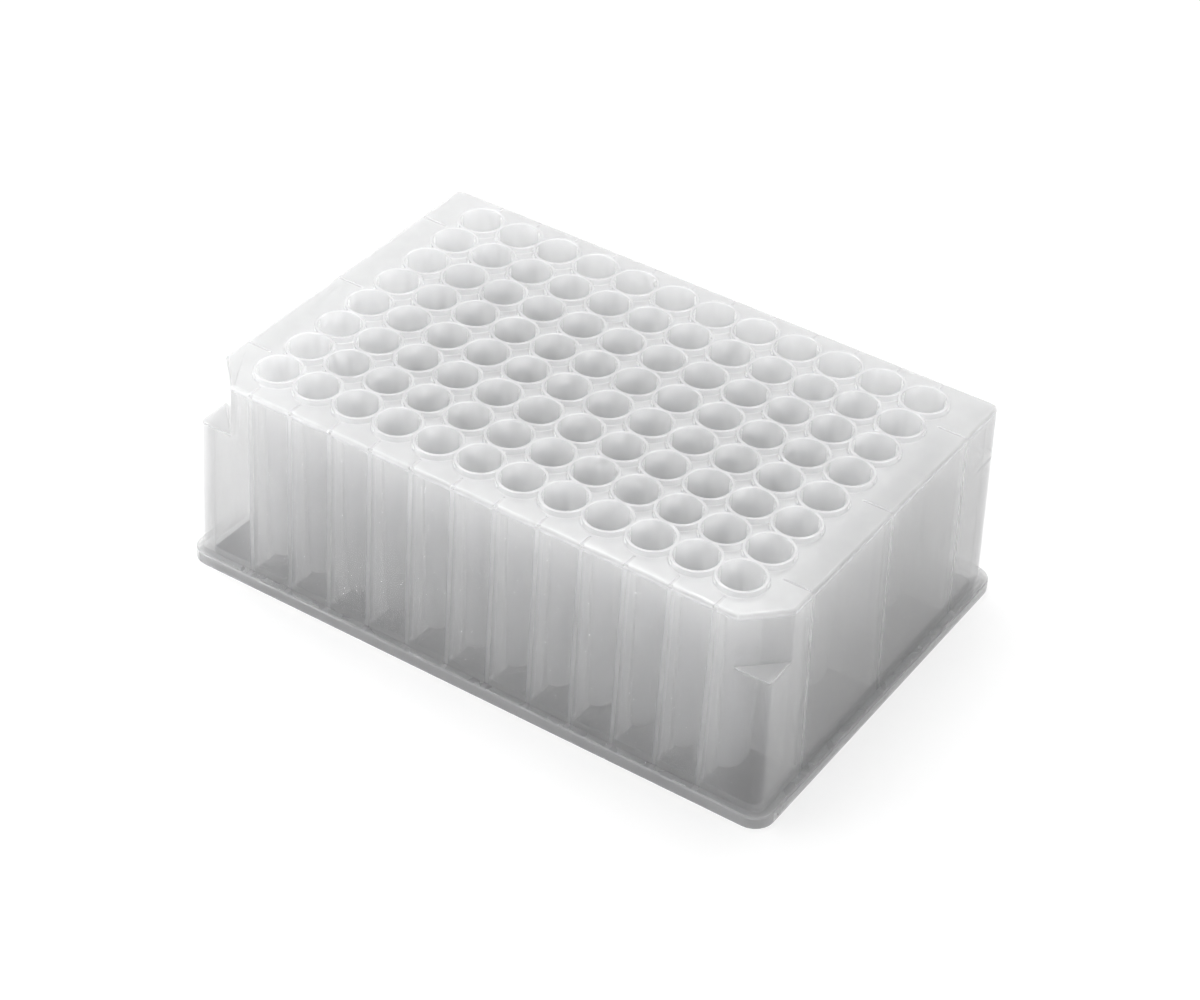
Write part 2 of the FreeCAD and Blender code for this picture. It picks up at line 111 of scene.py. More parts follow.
def share(text, value):
    """A number from 0 to 1 that the user may change."""
    return FloatProperty(name=text, description=text, default=value, min=0.0, max=1.0,
                         subtype="FACTOR")


def amount(text, value):
    """A number without a unit that the user may change."""
    return FloatProperty(name=text, description=text, default=value, min=0.0)


def angle(text, degrees):
    """An angle that the user may change."""
    return FloatProperty(name=text, description=text, default=math.radians(degrees),
                         subtype="ANGLE")


def count(text, value):
    """A number of things that the user may change."""
    return IntProperty(name=text, description=text, default=value, min=1)


class PlateSizes(bpy.types.PropertyGroup):
    """The moulded plate's sizes."""

    columns: count("Wells along the long side", 12)
    rows: count("Wells along the short side", 8)
    pitch: size("Distance between neighbouring wells", 9.0 * MM)
    length: size("Base along the long side", PLATE_HIGH.x - PLATE_LOW.x)
    width: size("Base along the short side", PLATE_HIGH.y - PLATE_LOW.y)
    height: size("Base to the top of the rims", PLATE_HIGH.z - PLATE_LOW.z)
    base_corner: size("Radius of the base's corners", 4.0 * MM)
    lip_height: size("Height of the lip round the base", 2.41 * MM)
    lip_ledge: size("Width of the ledge on that lip", 1.7 * MM)
    lip_wall: size("Thickness of that lip", 1.4 * MM)
    lip_round: size("Radius along the lip's upper edge", 0.4 * MM)
    draft: angle("How far the skirt leans out", 1.75)
    wall: size("Thickness of the skirt", 1.3 * MM)
    skirt_corner: size("Radius of the skirt's plain corners at the deck", 1.8 * MM)
    keyed_corner: size("Radius of its keyed corners, carried on up to the deck", 0.4 * MM)
    inner_corner: size("Radius of those corners inside", 0.9 * MM)
    deck: size("Thickness of the deck", 1.6 * MM)
    deck_round: size("Radius along the deck's outer edge", 0.7 * MM)
    cut_legs: size("Legs of the cut on the two keyed corners", 7.0 * MM)
    cut_depth: size("Deck to the ledge under each cut", 10.8 * MM)
    cut_round: size("Radius on the cuts' upright edges", 0.2 * MM)
    mouth: size("Radius of a well's mouth", 4.1 * MM)
    bottom: size("Radius of a well's round bottom", 3.5 * MM)
    well_wall: size("Thickness of a well's wall", 0.7 * MM)
    foot: size("Base to the lowest point of a well", 1.0 * MM)
    rim: size("Height of a rim above the deck", 1.2 * MM)
    rim_round: size("Radius on a rim's edges", 0.24 * MM)
    rim_fillet: size("Radius between a rim and the deck", 0.28 * MM)
    rib: size("Thickness of the ribs", 0.9 * MM)
    rib_foot: size("Base to the lower end of the ribs", 2.6 * MM)
    rib_bite: size("How far a rib runs into what it joins", 0.6 * MM)
    end_ribs: count("Ribs at each short side", 3)
    end_rib_rows: count("Rows of wells from one of those ribs to the next", 3)
    notch_width: size("Width of the notches in the deck's long edges", 0.9 * MM)
    notch_depth: size("How far in those notches cut", 0.45 * MM)
    sink_width: size("Width of the sink marks over the ribs", 0.5 * MM)
    sink_depth: size("Depth of those sink marks", 0.12 * MM)
    around: count("Faces round a well", 32)


class PlateFinish(bpy.types.PropertyGroup):
    """The plastic's colour, its milkiness and its surface."""

    colour: FloatVectorProperty(
        name="Plastic", description="Colour of the natural, unpigmented plastic",
        subtype="COLOR", size=3, min=0.0, max=1.0, default=(0.99, 0.992, 0.995))
    clear_deck: share("Share of light that goes straight through level faces", 0.2)
    clear_wells: share("Share of light that goes straight through the wells", 0.35)
    clear_thin: share("Share of light that goes straight through the skirt", 0.7)
    lucent: share("Share of the rest that comes out scattered on the far side", 0.35)
    glassy: share("Share of the remainder that is bent like glass", 0.8)
    polish: share("Roughness of what is seen by bent light", 0.05)
    satin: share("Roughness of the satin mould finish", 0.2)
    clouding: share("Share by which the colour and the satin drift in soft clouds", 0.03)
    streaking: share("Share by which the clearness drifts in upright streaks", 0.08)
    # the skirt is milkier where a rib backs it, for the thicker plastic there, and this also
    # paints the light that the ribs carry down as light lines
    rib_milk_and_painted_light: amount("How milky the skirt is where a rib backs it", 1.2)
    # painted shade: the plate's lower corners are made clearer, so the dark floor under the
    # plate shows through and they look darker
    corner_shade_clear: amount("How much clearer the lower keyed corners are", 0.5)
    ledge_milk: amount("How milky the ledges under the cuts are, against the deck", 2.0)
    # painted shade: the deck is made clearer over the ribs, so the dark inside shows through as
    # dark lines
    rib_shade_clear: amount("How clear the deck is over the ribs", 1.4)
    end_milk: share("How much less clear the wells' round ends are", 0.3)
    haze: FloatProperty(name="Haze", description="How often light is scattered in a metre",
                        default=220.0, min=0.0)
    haze_forward: share("How far scattered light keeps its direction", 0.5)
    index: FloatProperty(name="Refraction", description="Index of refraction",
                         default=1.5, min=1.0)


class StageSettings(bpy.types.PropertyGroup):
    """The floor, the light and the camera."""

    # the floor's dark colour lights the plate from below, and is shown under the plate as
    # painted shadow
    floor_colour: FloatVectorProperty(
        name="Floor", description="Colour of the floor as it lights the plate",
        subtype="COLOR", size=3, min=0.0, max=1.0, default=(0.12, 0.12, 0.125))
    floor_white: share("How much of the lamps' light the white backdrop shows", 0.45)
    floor_glow: share("How much the white backdrop shows by itself", 0.62)
    # painted shadow: under the whole base the floor shows dark, fading to the backdrop over
    # this distance inside the base's outline
    contact: size("How far the dark contact runs in from the base's outline", 0.4 * MM)
    shadow_near: size("Distance from the plate at which its shadow starts to fade", 0.1)
    shadow_far: size("Distance from the plate at which the backdrop is plain white", 0.3)
    room: FloatProperty(name="Room light", description="Strength of the even light all round",
                        min=0.0, default=0.1)
    key_power: FloatProperty(name="Key lamp", description="Power of the soft box overhead",
                             unit="POWER", min=0.0, default=6.5)
    fill_power: FloatProperty(name="Fill lamp", description="Power of the soft box at the left",
                              unit="POWER", min=0.0, default=1.2)
    turn: angle("Camera's turn about the upright axis", 32.12)
    tilt: angle("How far the camera looks down", 37.71)
    roll: angle("Camera's turn about its own axis", 2.94)
    lens: FloatProperty(name="Lens", description="Focal length on a 36 mm sensor",
                        unit="CAMERA", min=1.0, default=89.58)
    bounces: count("Times that light may bounce or pass a surface", 12)


# ---------------------------------------------------------------- modelling


def deselect_all():
    """Leave nothing selected, in object mode."""
    if bpy.context.mode != "OBJECT":
        bpy.ops.object.mode_set(mode="OBJECT")
    bpy.ops.object.select_all(action="DESELECT")


def activate(piece):
    """Make one object the only selected one, and the active one."""
    deselect_all()
    piece.select_set(True)
    bpy.context.view_layer.objects.active = piece


def edit(piece, kind="VERT"):
    """Open an object in edit mode with nothing selected in it."""
    activate(piece)
    bpy.ops.object.mode_set(mode="EDIT")
    bpy.ops.mesh.select_mode(type=kind)
    bpy.ops.mesh.select_all(action="DESELECT")


def pick(kind, test):
    """Select the vertices, edges or faces that pass a test, in edit mode."""
    mesh = bpy.context.edit_object.data
    shape = bmesh.from_edit_mesh(mesh)
    found = [item for item in getattr(shape, kind) if test(item)]
    for item in found:
        item.select_set(True)
    shape.select_flush_mode()
    bmesh.update_edit_mesh(mesh)
    if not found:
        raise RuntimeError("nothing to select among the %s" % kind)


def leave_edit():
    """Close edit mode."""
    bpy.ops.object.mode_set(mode="OBJECT")


def point_outwards():
    """Make every face of the open mesh point out."""
    bpy.ops.mesh.select_all(action="SELECT")
    bpy.ops.mesh.normals_make_consistent(inside=False)


def at_height(z):
    """A test for edges or faces that lie all at one height."""
    return lambda item: all(abs(v.co.z - z) < SAME for v in item.verts)


def add_block(name, length, width, low, high, corner, lean, front_corner=None):
    """A block with round upright corners, whose sides lean in by lean on the way up.

    The two corners at -Y may have a radius of their own.
    """
    deselect_all()
    bpy.ops.mesh.primitive_plane_add(size=1.0, location=(0, 0, low))
    block = bpy.context.object
    block.name = name
    bpy.ops.transform.resize(value=(length, width, 1.0), center_override=(0, 0, low))
    bpy.ops.object.transform_apply(location=True, rotation=True, scale=True)
    edit(block)
    for side, radius in ((1, corner), (-1, front_corner or corner)):
        bpy.ops.mesh.select_all(action="DESELECT")
        pick("verts", lambda v: v.co.y * side > width / 2 - SAME)
        bpy.ops.mesh.bevel(offset=radius, segments=CORNER_STEPS, affect="VERTICES",
                           profile=0.5)
    bpy.ops.mesh.select_mode(type="FACE")
    bpy.ops.mesh.select_all(action="SELECT")
    if lean:
        bpy.ops.mesh.inset(thickness=lean, depth=high - low, use_boundary=True,
                           use_even_offset=True)
        bpy.ops.mesh.select_mode(type="EDGE")
        bpy.ops.mesh.select_all(action="DESELECT")
        pick("edges", lambda e: e.is_boundary)
        bpy.ops.mesh.edge_face_add()
    else:
        bpy.ops.mesh.extrude_region_move(
            TRANSFORM_OT_translate={"value": (0, 0, high - low)})
        bpy.ops.mesh.select_mode(type="EDGE")
        bpy.ops.mesh.select_all(action="DESELECT")
        shape = bmesh.from_edit_mesh(block.data)
        if any(e.is_boundary for e in shape.edges):
            pick("edges", lambda e: e.is_boundary)
            bpy.ops.mesh.edge_face_add()
    point_outwards()
    leave_edit()
    return block


def add_box(name, low, high):
    """A cube stretched between two corners."""
    deselect_all()
    middle = (Vector(low) + Vector(high)) / 2
    bpy.ops.mesh.primitive_cube_add(size=1.0, location=middle)
    box = bpy.context.object
    box.name = name
    bpy.ops.transform.resize(value=Vector(high) - Vector(low), center_override=middle)
    bpy.ops.object.transform_apply(location=True, rotation=True, scale=True)
    return box


def turn(piece, about_z):
    """Turn a mesh about the upright axis through the origin."""
    edit(piece)
    bpy.ops.mesh.select_all(action="SELECT")
    # without a window this operator turns the other way
    bpy.ops.transform.rotate(value=-about_z, orient_axis="Z", center_override=(0, 0, 0))
    leave_edit()


def add_corner_wedge(name, side, distance, slope, low, high):
    """What lies outside a keyed corner's 45 degree face, from low to high.

    distance is from the plate's axis to that face at the height high, and the
    face leans out by slope on the way down.
    """
    wedge = add_box(name, (distance, -WEDGE_REACH, low),
                    (distance + WEDGE_REACH, WEDGE_REACH, high))
    edit(wedge)
    pick("verts", lambda v: v.co.x < distance + NEAR and v.co.z < low + NEAR)
    bpy.ops.transform.translate(value=(slope * (high - low), 0, 0))
    leave_edit()
    turn(wedge, math.radians(-45 if side > 0 else -135))
    return wedge


def copy_of(piece, offset=(0, 0, 0)):
    """A copy with its own mesh, moved by offset."""
    twin = piece.copy()
    twin.data = piece.data.copy()
    bpy.context.collection.objects.link(twin)
    twin.data.transform(Matrix.Translation(offset))
    return twin


def join(pieces, name):
    """One object out of several."""
    activate(pieces[0])
    for piece in pieces:
        piece.select_set(True)
    bpy.ops.object.join()
    whole = bpy.context.object
    whole.name = name
    return whole


def combine(piece, other, operation):
    """Unite piece with other, or cut other out of it, and delete other."""
    activate(piece)
    modifier = piece.modifiers.new(operation.title(), "BOOLEAN")
    modifier.operation = operation
    modifier.solver = "MANIFOLD"
    modifier.object = other
    bpy.ops.object.modifier_apply(modifier=modifier.name)
    bpy.data.objects.remove(other)
    if not piece.data.polygons:
        raise RuntimeError("%s left nothing of %s" % (operation, piece.name))


def add_turned(name, radius, centre, rings, around):
    """A round-bottomed plug: the lower half of a ball, drawn up through rings.

    rings are (radius, height) pairs above the ball's middle.
    """
    deselect_all()
    bpy.ops.mesh.primitive_uv_sphere_add(segments=around, ring_count=BALL_ROWS,
                                         radius=radius, location=(0, 0, centre))
    plug = bpy.context.object
    plug.name = name
    bpy.ops.object.transform_apply(location=True, rotation=True, scale=True)
    edit(plug)
    pick("verts", lambda v: v.co.z > centre + SAME)
    bpy.ops.mesh.delete(type="VERT")
    bpy.ops.mesh.select_mode(type="EDGE")
    pick("edges", lambda e: e.is_boundary)
    last_radius = radius
    last_height = centre
    for ring_radius, height in rings:
        bpy.ops.mesh.extrude_edges_move(
            TRANSFORM_OT_translate={"value": (0, 0, height - last_height)})
        ratio = ring_radius / last_radius
        bpy.ops.transform.resize(value=(ratio, ratio, 1.0), center_override=(0, 0, height))
        last_radius = ring_radius
        last_height = height
    bpy.ops.mesh.edge_face_add()
    point_outwards()
    leave_edit()
    return plug


def arc(centre, radius, start, end, steps):
    """Points on an arc, as (radius, height) pairs, with its angles in degrees."""
    points = []
    for i in range(steps + 1):
        at = math.radians(start + (end - start) * i / steps)
        points.append((centre[0] + radius * math.cos(at),
                       centre[1] + radius * math.sin(at)))
    return points


def grid_of(piece, sizes, parity=None):
    """Copies of a piece at every well, or at every other one, as one object."""
    first_x = -sizes.pitch * (sizes.columns - 1) / 2
    first_y = -sizes.pitch * (sizes.rows - 1) / 2
    copies = []
    for column in range(sizes.columns):
        for row in range(sizes.rows):
            if parity is None or (column + row) % 2 == parity:
                place = (first_x + column * sizes.pitch, first_y + row * sizes.pitch, 0)
                copies.append(copy_of(piece, place))
    return join(copies, piece.name + "_grid")


def build_skirt(sizes):
    """The lip, the drafted skirt and the deck as one solid, cut at the keyed corners."""
    slope = math.tan(sizes.draft)
    deck_top = sizes.height - sizes.rim
    lip_lean = slope * (deck_top - sizes.lip_height)
    deck_length = sizes.length - 2 * sizes.lip_ledge - 2 * lip_lean
    deck_width = sizes.width - 2 * sizes.lip_ledge - 2 * lip_lean

    buried = sizes.lip_height / 2
    lean = slope * (deck_top - buried)
    skirt = add_block("skirt", deck_length + 2 * lean, deck_width + 2 * lean, buried,
                      deck_top, sizes.skirt_corner + lean, lean, sizes.keyed_corner + lean)
    ledge = deck_top - sizes.cut_depth
    # the cut's line on the deck is where |x| + |y| is this
    cut_line = (deck_length + deck_width) / 2 - sizes.cut_legs
    face = cut_line / math.sqrt(2) - slope * OVER
    for side in (-1, 1):
        wedge = add_corner_wedge("wedge", side, face, slope, ledge, deck_top + OVER)
        combine(skirt, wedge, "DIFFERENCE")

    # round the cuts' upright edges, then all round the deck
    def upright_at_cut(edge):
        bottom, top = sorted((v.co for v in edge.verts), key=lambda place: place.z)
        tall = top.z - bottom.z > 0.9 * sizes.cut_depth
        return tall and abs(abs(top.x) - top.y - cut_line) < NEAR / 2

    edit(skirt, "EDGE")
    pick("edges", upright_at_cut)
    bpy.ops.mesh.bevel(offset=sizes.cut_round, segments=EDGE_STEPS, profile=0.5)
    bpy.ops.mesh.select_all(action="DESELECT")
    pick("edges", at_height(deck_top))
    bpy.ops.mesh.bevel(offset=sizes.deck_round, segments=DECK_STEPS, profile=0.5)
    leave_edit()

    lip = add_block("lip", sizes.length, sizes.width, 0.0, sizes.lip_height,
                    sizes.base_corner, 0.0)
    edit(lip, "EDGE")
    pick("edges", at_height(sizes.lip_height))
    bpy.ops.mesh.bevel(offset=sizes.lip_round, segments=EDGE_STEPS, profile=0.5)
    leave_edit()
    combine(skirt, lip, "UNION")
    return skirt, deck_length, deck_width


def hollow_out(skirt, sizes, deck_length, deck_width):
    """Cut the cavity under the deck and the recess inside the lip."""
    slope = math.tan(sizes.draft)
    deck_top = sizes.height - sizes.rim
    under_deck = deck_top - sizes.deck
    under_ledge = deck_top - sizes.cut_depth - sizes.wall
    length = deck_length - 2 * sizes.wall
    width = deck_width - 2 * sizes.wall
    lean = slope * (under_deck + BELOW)
    cavity = add_block("cavity", length + 2 * lean, width + 2 * lean, -BELOW, under_deck,
                       sizes.inner_corner + lean, lean)
    outer_face = ((deck_length + deck_width) / 2 - sizes.cut_legs) / math.sqrt(2)
    at_deck = outer_face - sizes.wall + slope * sizes.deck
    for side in (-1, 1):
        wedge = add_corner_wedge("inner_wedge", side, at_deck - slope * (sizes.deck + OVER),
                                 slope, under_ledge, under_deck + OVER)
        combine(cavity, wedge, "DIFFERENCE")
    combine(skirt, cavity, "DIFFERENCE")
    recess = add_block("recess", sizes.length - 2 * sizes.lip_wall,
                       sizes.width - 2 * sizes.lip_wall, -BELOW,
                       sizes.lip_height - sizes.lip_wall,
                       sizes.base_corner - sizes.lip_wall, 0.0)
    combine(skirt, recess, "DIFFERENCE")


def add_ribs(skirt, sizes, deck_length, deck_width):
    """Upright ribs from the outer wells to the skirt, on all four sides."""
    slope = math.tan(sizes.draft)
    under_deck = sizes.height - sizes.rim - sizes.deck
    head = under_deck + sizes.rib_bite
    lean = slope * (head - sizes.rib_foot)
    first_x = sizes.pitch * (sizes.columns - 1) / 2
    first_y = sizes.pitch * (sizes.rows - 1) / 2
    half = sizes.rib / 2
    meet_y = deck_width / 2 - sizes.wall + sizes.rib_bite
    meet_x = deck_length / 2 - sizes.wall + sizes.rib_bite

    side_rib = add_box("side_rib", (-half, first_y, sizes.rib_foot), (half, meet_y, head))
    edit(side_rib)
    pick("verts", lambda v: v.co.y > meet_y - NEAR and v.co.z < head - NEAR)
    bpy.ops.transform.translate(value=(0, lean, 0))
    leave_edit()
    end_rib = add_box("end_rib", (first_x, -half, sizes.rib_foot), (meet_x, half, head))
    edit(end_rib)
    pick("verts", lambda v: v.co.x > meet_x - NEAR and v.co.z < head - NEAR)
    bpy.ops.transform.translate(value=(lean, 0, 0))
    leave_edit()

    ribs = []
    for side in (0, 1):
        for column in range(sizes.columns):
            ribs.append(copy_of(side_rib, (-first_x + column * sizes.pitch, 0, 0)))
        for place in range(sizes.end_ribs):
            shift = (place - (sizes.end_ribs - 1) / 2) * sizes.end_rib_rows * sizes.pitch
            ribs.append(copy_of(end_rib, (0, shift, 0)))
        if side == 0:
            turn(side_rib, math.pi)
            turn(end_rib, math.pi)
    bpy.data.objects.remove(side_rib)
    bpy.data.objects.remove(end_rib)
    combine(skirt, join(ribs, "ribs"), "UNION")


def add_wells(skirt, sizes):
    """Unite the tubes with the deck, every other one at a time, and bore them."""
    deck_top = sizes.height - sizes.rim
    outside = sizes.mouth + sizes.well_wall
    ball = sizes.bottom + sizes.well_wall
    centre = sizes.foot + ball
    taper = (outside - ball) / (sizes.height - centre)
    buried = deck_top - 0.5 * sizes.deck
    rings = [(ball + taper * (buried - centre), buried)]
    # the fillet starts a little inside the deck
    foot_of_rim = (outside + sizes.rim_fillet, deck_top + sizes.rim_fillet)
    rings.append((foot_of_rim[0] + 0.1 * MM, deck_top - 0.3 * MM))
    rings.append((foot_of_rim[0] + 0.05 * MM, deck_top - 0.02 * MM))
    rings += arc(foot_of_rim, sizes.rim_fillet, 255, 180, FILLET_STEPS)
    crown = (outside - sizes.rim_round, sizes.height - sizes.rim_round)
    rings += arc(crown, sizes.rim_round, 0, 90, EDGE_STEPS)
    tube = add_turned("tube", ball, centre, rings, sizes.around)
    for parity in (0, 1):
        combine(skirt, grid_of(tube, sizes, parity), "UNION")
    bpy.data.objects.remove(tube)


def bore_wells(skirt, sizes):
    """Cut the bores, with round edges at their mouths."""
    centre = sizes.foot + sizes.well_wall + sizes.bottom
    mouth = (sizes.mouth + sizes.rim_round, sizes.height - sizes.rim_round)
    rings = arc(mouth, sizes.rim_round, 180, 96, EDGE_STEPS)
    rings.append((rings[-1][0] + 0.02 * MM, sizes.height + ABOVE))
    bore = add_turned("bore", sizes.bottom, centre, rings, sizes.around)
    combine(skirt, grid_of(bore, sizes), "DIFFERENCE")
    bpy.data.objects.remove(bore)


def cut_notches(skirt, sizes, deck_width):
    """Small notches in the deck's long edges, one over each rib."""
    deck_top = sizes.height - sizes.rim
    half = sizes.notch_width / 2
    edge = deck_width / 2
    first_x = sizes.pitch * (sizes.columns - 1) / 2
    notches = []
    for side in (-1, 1):
        for column in range(sizes.columns):
            x = -first_x + column * sizes.pitch
            near = side * (edge - sizes.notch_depth)
            far = side * (edge + sizes.notch_depth)
            notches.append(add_box(
                "notch", (x - half, min(near, far), deck_top - sizes.deck_round),
                (x + half, max(near, far), deck_top + ABOVE)))
    combine(skirt, join(notches, "notches"), "DIFFERENCE")


def cut_sinks(skirt, sizes, deck_length, deck_width):
    """Shallow sink marks across the deck's margins, where the ribs draw it in."""
    deck_top = sizes.height - sizes.rim
    half = sizes.sink_width / 2
    rim_edge = sizes.mouth + sizes.well_wall + 2 * sizes.rim_fillet
    first_x = sizes.pitch * (sizes.columns - 1) / 2
    first_y = sizes.pitch * (sizes.rows - 1) / 2
    low, high = deck_top - sizes.sink_depth, deck_top + ABOVE
    marks = []
    for side in (-1, 1):
        near, far = side * (first_y + rim_edge), side * deck_width / 2
        for column in range(sizes.columns):
            x = -first_x + column * sizes.pitch
            marks.append(add_box("sink", (x - half, min(near, far), low),
                                 (x + half, max(near, far), high)))
        near, far = side * (first_x + rim_edge), side * deck_length / 2
        for place in range(sizes.end_ribs):
            y = (place - (sizes.end_ribs - 1) / 2) * sizes.end_rib_rows * sizes.pitch
            marks.append(add_box("sink", (min(near, far), y - half, low),
                                 (max(near, far), y + half, high)))
    combine(skirt, join(marks, "sinks"), "DIFFERENCE")


def finish_mesh(piece):
    """Clean the mesh, smooth its round faces and keep its flat ones flat."""
    edit(piece)
    bpy.ops.mesh.select_all(action="SELECT")
    bpy.ops.mesh.remove_doubles(threshold=MERGE)
    bpy.ops.mesh.dissolve_degenerate(threshold=NO_LENGTH)
    leave_edit()
    shape = bmesh.new()
    shape.from_mesh(piece.data)
    loose = sum(not e.is_manifold for e in shape.edges)
    triangles = sum(len(f.verts) - 2 for f in shape.faces)
    volume = shape.calc_volume()
    shape.free()
    print("mesh: %d triangles, %d open edges, %.0f mm3" % (triangles, loose, volume * 1e9))
    activate(piece)
    bpy.ops.object.shade_smooth_by_angle(angle=SHARP)
    normals = piece.modifiers.new("FlatFaces", "WEIGHTED_NORMAL")
    normals.keep_sharp = True
    bpy.ops.object.modifier_apply(modifier=normals.name)


# ---------------------------------------------------------------- materials


class Value:
    """A socket in a material, with arithmetic that adds Math nodes."""

    def __init__(self, tree, socket):
        self.tree = tree
        self.socket = socket

    def node(self, kind, settings=(), **sockets):
        """Add a node; sockets are given by name, with _ for a space."""
        made = self.tree.nodes.new(kind)
        for name, value in dict(settings).items():
            setattr(made, name, value)
        for name, value in sockets.items():
            plug = made.inputs[int(name[1:])] if name[0] == "_" else \
                made.inputs[name.replace("_", " ")]
            if isinstance(value, Value):
                self.tree.links.new(value.socket, plug)
            else:
                plug.default_value = value
        return made

    def maths(self, operation, first, second):
        made = self.node("ShaderNodeMath", {"operation": operation}, _0=first, _1=second)
        return Value(self.tree, made.outputs[0])

    def __add__(self, other):
        return self.maths("ADD", self, other)

    def __radd__(self, other):
        return self.maths("ADD", other, self)

    def __sub__(self, other):
        return self.maths("SUBTRACT", self, other)

    def __rsub__(self, other):
        return self.maths("SUBTRACT", other, self)

    def __mul__(self, other):
        return self.maths("MULTIPLY", self, other)

    def __rmul__(self, other):
        return self.maths("MULTIPLY", other, self)

    def __abs__(self):
        return self.maths("ABSOLUTE", self, 0.0)

    def __pow__(self, other):
        return self.maths("POWER", self, other)

    def most(self, other):
        return self.maths("MAXIMUM", self, other)

    def least(self, other):
        return self.maths("MINIMUM", self, other)

    def wave(self, reach):
        """0 at 0, up to reach and back, over and over."""
        return self.maths("PINGPONG", self, reach)


def new_tree(owner):
    """An empty node tree."""
    owner.use_nodes = True
    owner.node_tree.nodes.clear()
    return owner.node_tree


def out_of(node, name):
    """A node's output, by name or place, as a Value."""
    return Value(node.id_data, node.outputs[name])


def mixed(start, factor, first, second):
    """A Mix Shader between two shader nodes."""
    mix = start.node("ShaderNodeMixShader", _0=factor)
    start.tree.links.new(first.outputs[0], mix.inputs[1])
    start.tree.links.new(second.outputs[0], mix.inputs[2])
    return mix


def ramp(start, value, low, high, first=0.0, last=1.0):
    """A smooth step from first to last as value goes from low to high."""
    node = start.node("ShaderNodeMapRange", {"interpolation_type": "SMOOTHSTEP"},
                      _0=value, _1=low, _2=high, _3=first, _4=last)
    return out_of(node, 0)


def blend(start, factor, first, second):
    """A colour between two."""
    node = start.node("ShaderNodeMix", {"data_type": "RGBA"}, _0=factor,
                      _6=(*first, 1), _7=(*second, 1))
    return out_of(node, 2)


def clearness(start, sizes, finish, place):
    """How much light goes straight through: most in the skirt, least in the deck.

    A mask is made of distances, above 0 inside it, and a ramp softens its edge.
    """
    split = start.node("ShaderNodeSeparateXYZ", Vector=place)
    x = abs(out_of(split, 0))
    y = abs(out_of(split, 1))
    z = out_of(split, 2)
    fade = 0.3 * MM
    margin = 0.7 * MM
    outside = sizes.mouth + sizes.well_wall + margin
    past_end = x - (sizes.pitch * (sizes.columns - 1) / 2 + outside)
    past_side = y - (sizes.pitch * (sizes.rows - 1) / 2 + outside)
    off_end_rib = y.wave(sizes.end_rib_rows * sizes.pitch / 2)
    off_side_rib = (x + sizes.pitch / 2).wave(sizes.pitch / 2)
    at_sides = past_side.least(0.0 - past_end)

    def over_ribs(width, side_share):
        """Lines of one width over the ribs, fainter by side_share on the long sides."""
        edge = 0.1 * MM
        ends = past_end.least(width / 2 - off_end_rib)
        sides = at_sides.least(width / 2 - off_side_rib)
        return ramp(start, ends, -edge, edge) + side_share * ramp(start, sides, -edge, edge)

    # the skirt, from the lip to the deck, without the ledges under the cuts
    deck_top = sizes.height - sizes.rim
    under_deck = deck_top - 1.1 * MM - z
    over_lip = z - sizes.lip_height - 0.1 * MM
    ledge = deck_top - sizes.cut_depth
    ledge_band = 0.4 * MM
    ledge_line = (sizes.length + sizes.width) / 2 - 12.3 * MM
    off_ledge = (abs(z - ledge) - ledge_band).most(ledge_line - x - y)
    skirt = past_end.most(past_side).least(under_deck).least(over_lip).least(off_ledge)
    # painted shade: corner is 1 at the plate's lower corners, below the ledges, which are made
    # clearer so that they show darker
    corner = ramp(start, past_end.least(past_side).least(ledge - z), -4 * MM, 3 * MM)
    # over_ribs(sizes.rib, 1.0) makes the skirt milkier over the ribs: thicker plastic, and
    # painted light lines for the light the ribs carry
    thin = ramp(start, skirt, -fade, fade) * (
        1.0 + finish.corner_shade_clear * corner - finish.rib_milk_and_painted_light * over_ribs(sizes.rib, 1.0))

    # level faces: the deck, the rims' tops and the ledges
    normal = start.node("ShaderNodeSeparateXYZ", Vector=out_of(
        start.node("ShaderNodeNewGeometry"), "Normal"))
    level = ramp(start, abs(out_of(normal, 2)), 0.5, 0.9)
    half = sizes.deck / 2
    deck = ramp(start, abs(z - (deck_top - half)), half, half + fade, 1.0, 0.0)
    rims = ramp(start, z - deck_top, 0.1 * MM, 0.3 * MM)
    shelf = finish.ledge_milk * ramp(start, off_ledge, -fade, 0.0, 1.0, 0.0)
    # painted shade: sinks makes the deck clearer in lines over the ribs, so they show as dark
    # lines; the shallow grooves themselves are cut in cut_sinks
    sinks = finish.rib_shade_clear * deck * over_ribs(sizes.sink_width, 0.4)
    milky = level * (deck.most(rims).most(shelf) - sinks)

    # the wells' round ends
    ball = sizes.bottom + sizes.well_wall
    ends = ramp(start, z, sizes.foot + 0.3 * ball, sizes.foot + 1.2 * ball, 1.0, 0.0) * ramp(
        start, past_end.most(past_side), -fade, fade, 1.0, 0.0)
    return (finish.clear_wells + (finish.clear_thin - finish.clear_wells) * thin +
            (finish.clear_deck - finish.clear_wells) * milky - finish.end_milk * ends)


